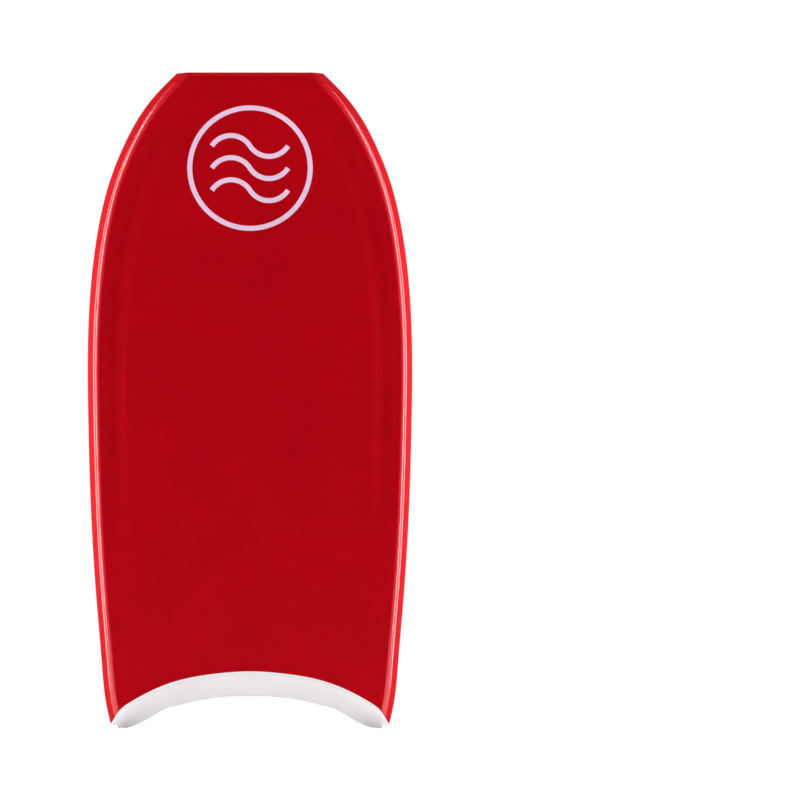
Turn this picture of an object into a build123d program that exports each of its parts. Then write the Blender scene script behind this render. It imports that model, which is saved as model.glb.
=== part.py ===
from build123d import *

import math
import os

os.makedirs("parts", exist_ok=True)

# Bodyboard standing on its tail: +Z runs from tail to nose, the deck faces -Y,
# the slick (bottom) faces +Y. The origin is on the centreline, at the height of
# the tail tips and midway through the depth of the whole board. All sizes in mm.

# ---------------------------------------------------------------- overall shape
LENGTH = 1067.0
MID_THICKNESS = 55.0
NOSE_THICKNESS = 46.0
TAIL_THICKNESS = 50.0
TAIL_TAPER_END = 260.0
NOSE_TAPER_START = 560.0
NOSE_ROCKER = 25.0
ROCKER_START = 620.0
APEX_SHARE = 0.6
NOSE_RAKE = 6.0
NOSE_ROLL_LENGTH = 6.0
NOSE_ROLL_DROP = 3.5

# The deck reaches furthest forward where it starts to roll over into the nose face
ROLL_SHARE = (LENGTH - NOSE_ROLL_LENGTH - ROCKER_START) / (LENGTH - ROCKER_START)
SLICK_Y = (NOSE_ROCKER * ROLL_SHARE**2 + NOSE_THICKNESS) / 2
OVERRUN = 60.0
HALF_SPAN = 320.0
THROUGH = 240.0

# Heights that the side-view lines pass through
DECK_STATIONS = (-60.0, 0.0, 60.0, 130.0, 200.0, 260.0, 400.0, 560.0,
                 660.0, 760.0, 860.0, 960.0, 1067.0, 1125.0)
SLICK_STATIONS = tuple(z for z in DECK_STATIONS if z > ROCKER_START)

# Stations from below the tail to beyond the nose:
# height, half width at the widest line, inset of the slick edge, inset of the deck edge
OUTLINE = (
    (-45.0, 212.0, 13.0, 12.0),
    (5.0, 226.0, 13.5, 12.0),
    (40.0, 234.0, 14.5, 12.0),
    (105.0, 241.0, 16.0, 12.0),
    (200.0, 249.0, 17.0, 12.0),
    (340.0, 258.0, 17.0, 12.0),
    (500.0, 263.0, 16.0, 12.0),
    (630.0, 263.5, 16.0, 12.0),
    (740.0, 257.0, 16.0, 12.5),
    (820.0, 245.5, 15.5, 13.0),
    (893.0, 227.0, 14.5, 14.0),
    (950.0, 204.0, 12.0, 15.0),
    (1000.0, 176.5, 9.0, 16.5),
    (1035.0, 149.0, 6.0, 17.0),
    (1067.0, 117.0, 4.5, 17.0),
    (1110.0, 74.0, 4.0, 17.0),
)

# ---------------------------------------------------------------- skins and strips
SLICK_THICKNESS = 2.0
RAIL_BEAD_WIDTH = 2.7
MESH_THICKNESS = 0.6
DECK_THICKNESS = 6.0
STRIP_THICKNESS = 5.0
# Rounding between chine and deck, as (inset from the deck edge, drop below the deck)
ROLLOVER = ((-3.0, 5.2), (2.0, 1.6), (9.0, 0.0))
SEAM_INSET = 6.0
BUMPER_THICKNESS = 5.0
FILM_THICKNESS = 0.3

# ---------------------------------------------------------------- tail cut
# x from the centreline, height on the slick face, height on the deck face,
# thickness of the tail skin measured along the board
TAIL_CURVE = (
    (0.0, 52.5, 86.0, 5.5),
    (58.0, 49.5, 82.0, 5.5),
    (106.0, 40.0, 74.0, 5.5),
    (135.0, 30.5, 65.5, 5.5),
    (156.0, 21.0, 57.0, 5.5),
    (180.0, 8.0, 45.5, 5.0),
    (199.0, 1.1, 35.0, 4.5),
    (210.0, 0.4, 27.0, 4.0),
    (219.0, 0.5, 16.5, 3.5),
    (227.0, 0.5, 5.0, 3.0),
)
TAIL_CORNER_SLOPE = -1.5
TAIL_BLOCK_FLOOR = -200.0

# ---------------------------------------------------------------- deck groove
# height, distance of the valley below the deck face (negative: clear of it)
GROOVE_STATIONS = (
    (270.0, -0.8),
    (330.0, 0.8),
    (420.0, 2.2),
    (560.0, 2.8),
    (700.0, 2.8),
    (820.0, 2.8),
    (900.0, 2.8),
    (960.0, 2.2),
    (1005.0, -0.8),
)
GROOVE_OUTER = 20.0
GROOVE_VALLEY = 42.0
GROOVE_INNER = 68.0
GROOVE_DEPTH = 2.8
GROOVE_HEADROOM = 2.0

# ---------------------------------------------------------------- slick channels
CHANNEL_X = 134.0
CHANNEL_RADIUS = 62.0
CHANNEL_DEPTH = 4.2
CHANNEL_LENGTH = 150.0

# ---------------------------------------------------------------- stringer
STRINGER_DIAMETER = 10.0
STRINGER_WALL = 1.5
STRINGER_START = 130.0
STRINGER_END = 880.0
STRINGER_Y = SLICK_Y - 27.0
CAP_HEAD = 2.0
CAP_SPIGOT = 12.0
BORE_BOTTOM = STRINGER_END + CAP_HEAD
PLUG_TOP = STRINGER_START - CAP_HEAD

# ---------------------------------------------------------------- printed pieces
PRINT_MARGIN = 6.0
PRINT_TAIL_GAP = 2.0
PRINT_TOP = 1052.0
BADGE_Z = 911.0
BADGE_DIAMETER = 204.0
BADGE_STROKE = 8.0
INNER_BADGE_DIAMETER = 178.0
RING_STROKE = 3.0
WAVE_REACH = 62.0
WAVE_RISE = 17.0
WAVE_PITCH = 36.0
MARK_COUNT = 9
MARK_START = 66.0
MARK_PITCH = 19.0
MARK_LENGTH = 11.0
MARK_HEIGHT = 13.0
MARK_SLANT = 5.0


# ---------------------------------------------------------------- shape formulas
def ease(share):
    """Smooth step from 0 to 1."""
    held = min(max(share, 0.0), 1.0)
    return held * held * (3 - 2 * held)


def thickness(z):
    """Board thickness, thinned at tail and nose."""
    tail_loss = (MID_THICKNESS - TAIL_THICKNESS) * ease(1 - z / TAIL_TAPER_END)
    nose_share = (z - NOSE_TAPER_START) / (LENGTH - NOSE_TAPER_START)
    nose_loss = (MID_THICKNESS - NOSE_THICKNESS) * ease(nose_share)
    return MID_THICKNESS - tail_loss - nose_loss


def slick_y(z):
    """Slick face: flat, then lifted toward the deck at the nose."""
    share = max(z - ROCKER_START, 0.0) / (LENGTH - ROCKER_START)
    return SLICK_Y - NOSE_ROCKER * share**2


def deck_y(z):
    """Deck face."""
    return slick_y(z) - thickness(z)


def apex_y(z):
    """Widest line of the rails."""
    return slick_y(z) - APEX_SHARE * thickness(z)


def outline_at(z, column):
    """Value of one OUTLINE column, straight between stations."""
    for low, high in zip(OUTLINE, OUTLINE[1:]):
        if z <= high[0]:
            break
    share = (z - low[0]) / (high[0] - low[0])
    return low[column] + share * (high[column] - low[column])


def slant(z):
    """How much wider a skin reads in a level section where the outline leans."""
    rise = 10.0
    lean = (outline_at(z + rise, 1) - outline_at(z - rise, 1)) / (2 * rise)
    return math.hypot(1.0, lean)


def mirrored(points):
    """Closed loop of section points from its right-hand half."""
    return [*points, *[(-x, y) for x, y in reversed(points)]]


# ---------------------------------------------------------------- level sections
def blank_section(z):
    """Outer section, overrunning slick and deck so that both are trimmed later."""
    half = outline_at(z, 1)
    slick_edge = half - outline_at(z, 2)
    deck_edge = half - outline_at(z, 3)
    bead_lean = RAIL_BEAD_WIDTH / SLICK_THICKNESS
    extra = 2.0
    low, middle, high = ROLLOVER
    roll_lean = (high[0] - middle[0]) / (middle[1] - high[1])
    return mirrored([
        (slick_edge - bead_lean * extra, slick_y(z) + extra),
        (slick_edge + RAIL_BEAD_WIDTH, slick_y(z) - SLICK_THICKNESS),
        (half, apex_y(z)),
        (deck_edge - low[0], deck_y(z) + low[1]),
        (deck_edge - middle[0], deck_y(z) + middle[1]),
        (deck_edge - high[0] - roll_lean * extra, deck_y(z) - extra),
    ])


def inner_section(z):
    """Section inside the rail strips, flared at the top to mitre the deck skin."""
    wall = STRIP_THICKNESS * slant(z)
    half = outline_at(z, 1)
    foot = half - outline_at(z, 2) + RAIL_BEAD_WIDTH
    deck_edge = half - outline_at(z, 3)
    shoulder = deck_edge + outline_at(z, 3) * DECK_THICKNESS / (apex_y(z) - deck_y(z))
    seam = deck_edge - SEAM_INSET
    flare = (seam - shoulder + wall) / DECK_THICKNESS
    extra = 5.0
    foot_lean = (half - foot) / (slick_y(z) - SLICK_THICKNESS - apex_y(z))
    return mirrored([
        (foot - wall - foot_lean * (extra + SLICK_THICKNESS), slick_y(z) + extra),
        (half - wall, apex_y(z)),
        (shoulder - wall, deck_y(z) + DECK_THICKNESS),
        (seam + flare * extra, deck_y(z) - extra),
    ])


def sheet_section(z):
    """Section as wide as the bottom sheet, deeper than it and clear of the slick."""
    edge = outline_at(z, 1) - outline_at(z, 2)
    reach = 6.0
    return mirrored([(edge, slick_y(z) + reach), (edge, slick_y(z) - reach)])


def lofted(section):
    """Smooth solid through one section at every station of the outline."""
    with BuildPart() as body:
        for station in OUTLINE:
            with BuildSketch(Plane.XY.offset(station[0])):
                Polygon(*section(station[0]), align=None)
        loft()
    return body.part


# ---------------------------------------------------------------- layers across the board
def slick_line(depth):
    """Side-view line at a depth under the slick, straight and then curved."""
    start = (SLICK_Y - depth, ROCKER_START)
    Line((SLICK_Y - depth, DECK_STATIONS[0]), start)
    curve = [start, *[(slick_y(z) - depth, z) for z in SLICK_STATIONS]]
    end_lean = slick_y(LENGTH + 1) - slick_y(LENGTH)
    Spline(*curve, tangents=[(0, 1), (end_lean, 1)], tangent_scalars=[1, 1])


def profile_line(height_of, depth):
    """Side-view line through a formula of the height."""
    Spline(*[(height_of(z) + depth, z) for z in DECK_STATIONS])


def slab_under_slick(depth):
    """Everything deeper than a depth under the slick face."""
    low, high = DECK_STATIONS[0], DECK_STATIONS[-1]
    far_y = -2 * OVERRUN
    with BuildPart() as body:
        with BuildSketch(Plane.YZ):
            with BuildLine():
                slick_line(depth)
                Polyline((slick_y(high) - depth, high), (far_y, high), (far_y, low),
                         (SLICK_Y - depth, low))
            make_face()
        extrude(amount=HALF_SPAN, both=True)
    return body.part


def slab_on(height_of, depth):
    """Everything on the slick side of a formula line, moved in by a depth."""
    low, high = DECK_STATIONS[0], DECK_STATIONS[-1]
    far_y = 2 * OVERRUN
    with BuildPart() as body:
        with BuildSketch(Plane.YZ):
            with BuildLine():
                profile_line(height_of, depth)
                Polyline((height_of(high) + depth, high), (far_y, high), (far_y, low),
                         (height_of(low) + depth, low))
            make_face()
        extrude(amount=HALF_SPAN, both=True)
    return body.part


def half_space(side):
    """Everything on one side of the centreline."""
    with BuildPart() as body:
        with Locations((side * HALF_SPAN / 2, 0, LENGTH / 2)):
            Box(HALF_SPAN, 2 * THROUGH, LENGTH + 2 * OVERRUN)
    return body.part


# ---------------------------------------------------------------- end cuts
def tail_block(lifted_by=lambda skin: 0.0):
    """Block below the raked crescent tail, raised by a formula of the skin thickness."""
    reach = 3.0
    faces = {SLICK_Y + reach: -reach, SLICK_Y - TAIL_THICKNESS - reach: TAIL_THICKNESS + reach}
    corner = HALF_SPAN - TAIL_CURVE[-1][0]
    with BuildPart() as body:
        for y, depth in faces.items():
            share = depth / TAIL_THICKNESS
            points = [(x, near + share * (far - near) + lifted_by(skin))
                      for x, near, far, skin in TAIL_CURVE]
            edge_x, edge_z = points[-1]
            outer = (HALF_SPAN, edge_z + share * TAIL_CORNER_SLOPE * corner)
            with BuildSketch(Plane.XZ.offset(-y)):
                with BuildLine():
                    Spline(*[(-x, z) for x, z in reversed(points[1:])], *points)
                    Line((edge_x, edge_z), outer)
                    Polyline(outer, (HALF_SPAN, TAIL_BLOCK_FLOOR),
                             (-HALF_SPAN, TAIL_BLOCK_FLOOR), (-outer[0], outer[1]))
                    Line((-outer[0], outer[1]), (-edge_x, edge_z))
                make_face()
        loft(ruled=True)
    return body.part


def nose_block(setback):
    """Block beyond the raked nose face, moved back from it by a setback."""
    top_z = LENGTH + OVERRUN
    near = slick_y(LENGTH) + OVERRUN
    far = deck_y(LENGTH) - OVERRUN
    lean = NOSE_RAKE / NOSE_THICKNESS
    near_z = LENGTH - NOSE_RAKE - lean * OVERRUN - setback
    far_z = LENGTH + lean * OVERRUN - setback
    with BuildPart() as body:
        with BuildSketch(Plane.YZ):
            Polygon((near, near_z), (far, far_z), (far, top_z), (near, top_z), align=None)
        extrude(amount=HALF_SPAN, both=True)
    return body.part


def nose_roll():
    """Wedge that rolls the deck over into the nose face."""
    reach = 6.0
    low = (deck_y(LENGTH - NOSE_ROLL_LENGTH), LENGTH - NOSE_ROLL_LENGTH)
    high = (deck_y(LENGTH) + NOSE_ROLL_DROP, LENGTH)
    run = (high[0] - low[0], high[1] - low[1])
    start = (low[0] - reach * run[0], low[1] - reach * run[1])
    end = (high[0] + reach * run[0], high[1] + reach * run[1])
    with BuildPart() as body:
        with BuildSketch(Plane.YZ):
            Polygon(start, end, (start[0], end[1]), align=None)
        extrude(amount=HALF_SPAN, both=True)
    return body.part


# ---------------------------------------------------------------- slick channels
def channel_tool(growth):
    """Two long round-bottomed cutters that run out of the slick toward the middle."""
    tilt = math.degrees(math.atan2(CHANNEL_DEPTH, CHANNEL_LENGTH))
    axis_y = SLICK_Y + CHANNEL_RADIUS - CHANNEL_DEPTH
    length = 2 * (CHANNEL_LENGTH + OVERRUN)
    with BuildPart() as body:
        for side in (-1, 1):
            with Locations(Location((side * CHANNEL_X, axis_y, 0), (-tilt, 0, 0))):
                Cylinder(CHANNEL_RADIUS + growth, length)
    return body.part


# ---------------------------------------------------------------- printed shapes
def ring_prism(outer, stroke):
    """Plain ring right through the board at the badge height."""
    with BuildPart() as body:
        with BuildSketch(Plane.XZ):
            with Locations((0, BADGE_Z)):
                Circle(outer / 2)
                Circle(outer / 2 - stroke, mode=Mode.SUBTRACT)
        extrude(amount=THROUGH, both=True)
    return body.part


def waves_prism(outer):
    """Three wave lines right through the board, sized to sit in a ring."""
    scale = outer / BADGE_DIAMETER
    reach = WAVE_REACH * scale
    rise = WAVE_RISE * scale
    with BuildPart() as body:
        with BuildSketch(Plane.XZ):
            for row in (-1, 0, 1):
                level = BADGE_Z + row * WAVE_PITCH * scale
                with BuildLine():
                    ThreePointArc((-reach, level), (-reach / 2, level + rise), (0, level))
                    ThreePointArc((0, level), (reach / 2, level - rise), (reach, level))
                trace(line_width=BADGE_STROKE)
        extrude(amount=THROUGH, both=True)
    return body.part


def print_prism():
    """Printed area of the slick right through the board, margins left free."""
    edges = [(outline_at(z, 1) - outline_at(z, 2) - PRINT_MARGIN * slant(z), z)
             for z, *_ in OUTLINE if z < PRINT_TOP]
    top_half = outline_at(PRINT_TOP, 1) - outline_at(PRINT_TOP, 2) - PRINT_MARGIN * slant(PRINT_TOP)
    edges = [*edges, (top_half, PRINT_TOP)]
    left = [(-x, z) for x, z in edges]
    with BuildPart() as body:
        with BuildSketch(Plane.XZ):
            with BuildLine():
                Spline(*edges)
                Line(edges[-1], left[-1])
                Spline(*reversed(left))
                Line(left[0], edges[0])
            make_face()
        extrude(amount=THROUGH, both=True)
        add(tail_block(lambda skin: PRINT_TAIL_GAP), mode=Mode.SUBTRACT)
    return body.part


def mark_prisms():
    """Row of slanted dashes through the lower rail on the -X side."""
    middle = (slick_y(0) + apex_y(0)) / 2
    near, far = middle - MARK_HEIGHT / 2, middle + MARK_HEIGHT / 2
    with BuildPart() as body:
        with BuildSketch(Plane.YZ.offset(-HALF_SPAN)):
            for index in range(MARK_COUNT):
                z = MARK_START + index * MARK_PITCH
                Polygon((near, z), (far, z + MARK_SLANT), (far, z + MARK_SLANT + MARK_LENGTH),
                        (near, z + MARK_LENGTH), align=None)
        extrude(amount=HALF_SPAN)
    return body.part


# ---------------------------------------------------------------- deck groove
def groove_tool():
    """Shallow V that follows the outline on both sides and runs out at its ends."""
    with BuildPart() as body:
        for side in (-1, 1):
            for z, depth in GROOVE_STATIONS:
                lean = slant(z)
                valley = outline_at(z, 1) - GROOVE_VALLEY * lean
                climb = (depth + GROOVE_HEADROOM) / GROOVE_DEPTH
                outer = valley + (GROOVE_VALLEY - GROOVE_OUTER) * lean * climb
                inner = valley - (GROOVE_INNER - GROOVE_VALLEY) * lean * climb
                top = deck_y(z) - GROOVE_HEADROOM
                with BuildSketch(Plane.XY.offset(z)):
                    Polygon((side * valley, deck_y(z) + depth), (side * outer, top),
                            (side * inner, top), align=None)
            loft()
    return body.part


# ---------------------------------------------------------------- cutting tools
inner_tool = lofted(inner_section)
on_deck = slab_on(deck_y, 0)
under_deck_skin = slab_on(deck_y, DECK_THICKNESS)
under_deck_film = slab_on(deck_y, FILM_THICKNESS)
slick_side_of_apex = slab_on(apex_y, 0)
nose_end = nose_block(BUMPER_THICKNESS)
tail_end = tail_block(lambda skin: skin)
left_half = half_space(-1)
right_half = half_space(1)


def under_bottom(depth):
    """Everything deeper than a depth under the slick, channels included."""
    with BuildPart() as body:
        add(slab_under_slick(depth))
        add(channel_tool(depth), mode=Mode.SUBTRACT)
    return body.part


under_film = under_bottom(FILM_THICKNESS)
under_slick = under_bottom(SLICK_THICKNESS)
under_mesh = under_bottom(SLICK_THICKNESS + MESH_THICKNESS)

with BuildPart() as sheet_space:
    add(lofted(sheet_section))
    add(under_slick, mode=Mode.SUBTRACT)

# ---------------------------------------------------------------- whole blank
with BuildPart() as blank:
    add(lofted(blank_section))
    add(under_bottom(0), mode=Mode.INTERSECT)
    add(on_deck, mode=Mode.INTERSECT)
    add(tail_block(), mode=Mode.SUBTRACT)
    add(nose_block(0), mode=Mode.SUBTRACT)
    add(nose_roll(), mode=Mode.SUBTRACT)


def carved(start, keep=(), cut=()):
    """Solid kept inside some tools and cleared of others."""
    with BuildPart() as piece:
        add(start)
        for tool in keep:
            add(tool, mode=Mode.INTERSECT)
        for tool in cut:
            add(tool, mode=Mode.SUBTRACT)
    return piece.part


def save(piece, name):
    """Label a finished piece and write its file."""
    piece.part.label = name
    export_step(piece.part, f"parts/{name}.step")


# ---------------------------------------------------------------- nose bumper
with BuildPart() as nose_bumper:
    add(carved(blank.part, keep=(nose_end, under_deck_skin, inner_tool)))

# ---------------------------------------------------------------- deck skin and its badge
with BuildPart() as deck_emblem:
    add(ring_prism(BADGE_DIAMETER, BADGE_STROKE))
    add(waves_prism(BADGE_DIAMETER))
    add(blank.part, mode=Mode.INTERSECT)
    add(under_deck_film, mode=Mode.SUBTRACT)

with BuildPart() as deck_skin:
    add(carved(blank.part, keep=(inner_tool,), cut=(under_deck_skin, tail_end)))
    add(groove_tool(), mode=Mode.SUBTRACT)
    add(deck_emblem.part, mode=Mode.SUBTRACT)

# ---------------------------------------------------------------- slick and its print
with BuildPart() as print_area:
    add(carved(blank.part, keep=(print_prism(),), cut=(under_film,)))

with BuildPart() as slick_emblem_ring:
    add(carved(print_area.part, keep=(ring_prism(BADGE_DIAMETER, RING_STROKE),)))

with BuildPart() as slick_emblem:
    add(ring_prism(INNER_BADGE_DIAMETER, BADGE_STROKE))
    add(waves_prism(INNER_BADGE_DIAMETER))
    add(print_area.part, mode=Mode.INTERSECT)

with BuildPart() as slick_print:
    add(print_area.part)
    add(slick_emblem_ring.part, mode=Mode.SUBTRACT)
    add(slick_emblem.part, mode=Mode.SUBTRACT)

with BuildPart() as slick_skin:
    add(carved(blank.part, keep=(sheet_space.part,), cut=(nose_bumper.part,)))
    add(print_area.part, mode=Mode.SUBTRACT)

with BuildPart() as bottom_mesh:
    add(carved(blank.part, keep=(under_slick, inner_tool), cut=(under_mesh, nose_end, tail_end)))

# ---------------------------------------------------------------- rails
rails = carved(blank.part, cut=(sheet_space.part, inner_tool, tail_end, nose_bumper.part))
lower_rails = carved(rails, keep=(slick_side_of_apex,))
upper_rails = carved(rails, cut=(slick_side_of_apex,))

with BuildPart() as chine_strip_left:
    add(carved(upper_rails, keep=(left_half,)))

with BuildPart() as chine_strip_right:
    add(carved(upper_rails, keep=(right_half,)))

with BuildPart() as rail_strip_right:
    add(carved(lower_rails, keep=(right_half,)))

with BuildPart() as rail_marks:
    add(carved(lower_rails, keep=(left_half,)))
    add(lower_rails.moved(Location((FILM_THICKNESS, 0, 0))), mode=Mode.SUBTRACT)
    add(mark_prisms(), mode=Mode.INTERSECT)

with BuildPart() as rail_strip_left:
    add(carved(lower_rails, keep=(left_half,)))
    add(rail_marks.part, mode=Mode.SUBTRACT)

# ---------------------------------------------------------------- tail skin
with BuildPart() as tail_skin:
    add(carved(blank.part, keep=(tail_end,), cut=(sheet_space.part,)))

# ---------------------------------------------------------------- core and stringer
with BuildPart() as stringer_bore:
    with BuildSketch(Plane.XY):
        with Locations((0, STRINGER_Y)):
            Circle(STRINGER_DIAMETER / 2)
    extrude(amount=BORE_BOTTOM)

core_blank = carved(blank.part, keep=(under_mesh, under_deck_skin, inner_tool),
                    cut=(nose_end, tail_end))

with BuildPart() as foam_core:
    add(core_blank)
    add(stringer_bore.part, mode=Mode.SUBTRACT)

with BuildPart() as bore_plug:
    add(carved(core_blank, keep=(stringer_bore.part,)))
    split(bisect_by=Plane.XY.offset(PLUG_TOP), keep=Keep.BOTTOM)

with BuildPart() as stringer:
    with BuildSketch(Plane.XY.offset(STRINGER_START)):
        with Locations((0, STRINGER_Y)):
            Circle(STRINGER_DIAMETER / 2)
            Circle(STRINGER_DIAMETER / 2 - STRINGER_WALL, mode=Mode.SUBTRACT)
    extrude(amount=STRINGER_END - STRINGER_START)

with BuildPart() as stringer_end_caps:
    for mouth, outward in ((STRINGER_START, -1), (STRINGER_END, 1)):
        with BuildSketch(Plane.XY.offset(mouth)):
            with Locations((0, STRINGER_Y)):
                Circle(STRINGER_DIAMETER / 2)
        extrude(amount=outward * CAP_HEAD)
        with BuildSketch(Plane.XY.offset(mouth)):
            with Locations((0, STRINGER_Y)):
                Circle(STRINGER_DIAMETER / 2 - STRINGER_WALL)
        extrude(amount=-outward * CAP_SPIGOT)

# ---------------------------------------------------------------- files
save(foam_core, "foam_core")
save(stringer, "stringer")
save(stringer_end_caps, "stringer_end_caps")
save(bore_plug, "bore_plug")
save(bottom_mesh, "bottom_mesh")
save(slick_skin, "slick_skin")
save(slick_print, "slick_print")
save(slick_emblem, "slick_emblem")
save(slick_emblem_ring, "slick_emblem_ring")
save(deck_skin, "deck_skin")
save(deck_emblem, "deck_emblem")
save(chine_strip_left, "chine_strip_left")
save(chine_strip_right, "chine_strip_right")
save(rail_strip_left, "rail_strip_left")
save(rail_strip_right, "rail_strip_right")
save(rail_marks, "rail_marks")
save(nose_bumper, "nose_bumper")
save(tail_skin, "tail_skin")
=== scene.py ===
# %% [markdown]
# # A bodyboard, skin by skin
#
# A bodyboard is a laminate. A thick block of closed-cell foam is stiffened by one tube,
# and thinner skins are welded to it with heat: a soft deck on one side, a hard slippery
# sheet on the other, and foam strips round the edge. This lesson loads the engineering
# model first, then remakes every skin that can be seen as a smooth, finely divided mesh,
# and gives each one a material that has the grain of the real stuff.
#
# The board stands on its tail: +Z runs from tail to nose, the deck faces -Y, the slick
# (the bottom) faces +Y. Everything is in metres.

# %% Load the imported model
import bpy
import bmesh
import math
import numpy as np
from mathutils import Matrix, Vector
from mathutils.geometry import delaunay_2d_cdt


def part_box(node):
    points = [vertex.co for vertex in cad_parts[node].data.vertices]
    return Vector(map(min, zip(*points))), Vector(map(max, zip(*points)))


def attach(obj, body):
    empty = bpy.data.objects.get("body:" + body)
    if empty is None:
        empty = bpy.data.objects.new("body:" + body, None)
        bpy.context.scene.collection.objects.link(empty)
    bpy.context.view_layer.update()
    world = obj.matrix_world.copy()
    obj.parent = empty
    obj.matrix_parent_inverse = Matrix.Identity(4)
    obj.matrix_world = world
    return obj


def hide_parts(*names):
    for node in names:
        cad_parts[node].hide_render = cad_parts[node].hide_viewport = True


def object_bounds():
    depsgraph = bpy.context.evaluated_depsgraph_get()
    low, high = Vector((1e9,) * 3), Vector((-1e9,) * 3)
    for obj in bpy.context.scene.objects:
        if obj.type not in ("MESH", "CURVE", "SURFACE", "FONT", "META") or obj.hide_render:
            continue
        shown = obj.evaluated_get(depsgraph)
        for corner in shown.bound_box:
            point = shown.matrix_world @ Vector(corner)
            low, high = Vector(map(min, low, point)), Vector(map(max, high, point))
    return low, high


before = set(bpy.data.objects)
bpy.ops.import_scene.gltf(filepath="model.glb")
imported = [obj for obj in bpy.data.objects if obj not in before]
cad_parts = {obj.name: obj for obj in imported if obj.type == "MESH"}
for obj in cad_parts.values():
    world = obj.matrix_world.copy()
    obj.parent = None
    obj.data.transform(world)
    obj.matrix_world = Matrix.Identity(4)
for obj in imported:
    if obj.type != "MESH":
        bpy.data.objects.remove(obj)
cad_low, cad_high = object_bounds()
MM = 0.001
print("pieces in the model:", len(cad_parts))
print("board size in mm:", [round(v / MM) for v in cad_high - cad_low])

# %% [markdown]
# ## One smooth line through a few heights
#
# The shaper's drawing of a board is a list of widths at a few heights. A natural cubic
# spline through them gives the width at every height between, with no flat spots, and it
# is quick to work out for thousands of heights at once with numpy.


# %% A smooth line
def smooth_line(knots, values):
    """Natural cubic spline through the knots, as a function of an array."""
    x, y = np.array(knots, float), np.array(values, float)
    gap = np.diff(x)
    n = len(x)
    system, right = np.eye(n), np.zeros(n)
    for i in range(1, n - 1):
        system[i, i - 1:i + 2] = gap[i - 1], 2 * (gap[i - 1] + gap[i]), gap[i]
        right[i] = 6 * ((y[i + 1] - y[i]) / gap[i] - (y[i] - y[i - 1]) / gap[i - 1])
    bend = np.linalg.solve(system, right)

    def line(at):
        at = np.asarray(at, float)
        i = np.clip(np.searchsorted(x, at) - 1, 0, n - 2)
        a, b, h = x[i + 1] - at, at - x[i], gap[i]
        return ((bend[i] * a**3 + bend[i + 1] * b**3) / (6 * h)
                + (y[i] / h - bend[i] * h / 6) * a + (y[i + 1] / h - bend[i + 1] * h / 6) * b)

    return line


def ease(share):
    """Smooth step from 0 to 1."""
    held = np.clip(share, 0.0, 1.0)
    return held * held * (3 - 2 * held)


# %% [markdown]
# ## The outline, the rocker and the thickness
#
# Three rules shape a board: the outline seen from the front, the rocker (how the nose
# lifts toward the deck), and how thickness runs from tail to nose. They are written as
# functions of the height, so that every skin can ask the same functions and fit its
# neighbours exactly. The largest half width and the place of the slick come from the
# engineering model's box.

# %% Board shape
LENGTH = 1.067
HALF_WIDTH = (cad_high.x - cad_low.x) / 2
SLICK_FLAT = cad_high.y
THICK, THICK_NOSE, THICK_TAIL = 0.055, 0.046, 0.050
ROCKER, ROCKER_START = 0.025, 0.620
APEX_SHARE = 0.6

heights = [-0.045, 0.005, 0.040, 0.105, 0.200, 0.340, 0.500, 0.630, 0.740, 0.820, 0.893,
           0.950, 1.000, 1.035, 1.067, 1.110]
half_widths = [0.212, 0.226, 0.234, 0.241, 0.249, 0.258, 0.263, 0.2635, 0.257, 0.2455,
               0.227, 0.204, 0.1765, 0.149, 0.117, 0.074]
slick_insets = [0.013, 0.0135, 0.0145, 0.016, 0.017, 0.017, 0.016, 0.016, 0.016, 0.0155,
                0.0145, 0.012, 0.009, 0.006, 0.0045, 0.004]
deck_insets = [0.012] * 8 + [0.0125, 0.013, 0.014, 0.015, 0.0165, 0.017, 0.017, 0.017]

raw_half = smooth_line(heights, half_widths)
widest = float(raw_half(np.linspace(0, LENGTH, 400)).max())
slick_inset = smooth_line(heights, slick_insets)
deck_inset = smooth_line(heights, deck_insets)


def half_width(z):
    """Distance from the centreline to the widest line of the rail."""
    return raw_half(z) * HALF_WIDTH / widest


def thickness(z):
    """Board thickness, thinned at tail and nose."""
    tail = (THICK - THICK_TAIL) * ease(1 - z / 0.260)
    nose = (THICK - THICK_NOSE) * ease((z - 0.560) / (LENGTH - 0.560))
    return THICK - tail - nose


def slick_y(z):
    """The bottom face: flat, then lifted at the nose."""
    share = np.maximum(z - ROCKER_START, 0.0) / (LENGTH - ROCKER_START)
    return SLICK_FLAT - ROCKER * share**2


def deck_y(z):
    return slick_y(z) - thickness(z)


def reach(z):
    """How much wider the edge shapes read where the outline leans in at the nose."""
    return deck_inset(z) / deck_insets[0]


print("widest half width:", round(float(half_width(0.6)), 4), "against", round(HALF_WIDTH, 4))

# %% [markdown]
# ## The edge profile
#
# Cut across, the edge of the board is a chine (a steep slope under the deck), a widest
# line, and a longer slope down to the slick. The corner between chine and deck is rolled
# over, which is what catches a long bright line of light. Each stretch is written as a
# share of its way round, giving an inset from the outline and a depth. The strips and the
# skins beside them ask for the same points, so they meet without a gap.

# %% Edge profile
CHINE_RUN, CHINE_DROP = 0.009, 0.0052
ROLL_END, ROLL_SLOPE = 0.021, 0.966
SEAM, SEAM_UNDER = 0.018, 0.0137
STRAIGHT_CHINE = 0.55
SEAM_SHARE = STRAIGHT_CHINE + (1 - STRAIGHT_CHINE) * (SEAM - CHINE_RUN) / (ROLL_END - CHINE_RUN)
APEX_ROUND = 0.0012
BEAD, BEAD_DROP, STRAIGHT_RAIL, BEAD_START = 0.0027, 0.0020, 0.86, 0.85
WALL, DECK_SKIN = 0.005, 0.006


def between(a, b, share):
    return a + (b - a) * share


def stretch(share, start, end):
    """How far a share has come through one stretch of the profile."""
    return np.clip((share - start) / (end - start), 0, 1)


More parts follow.
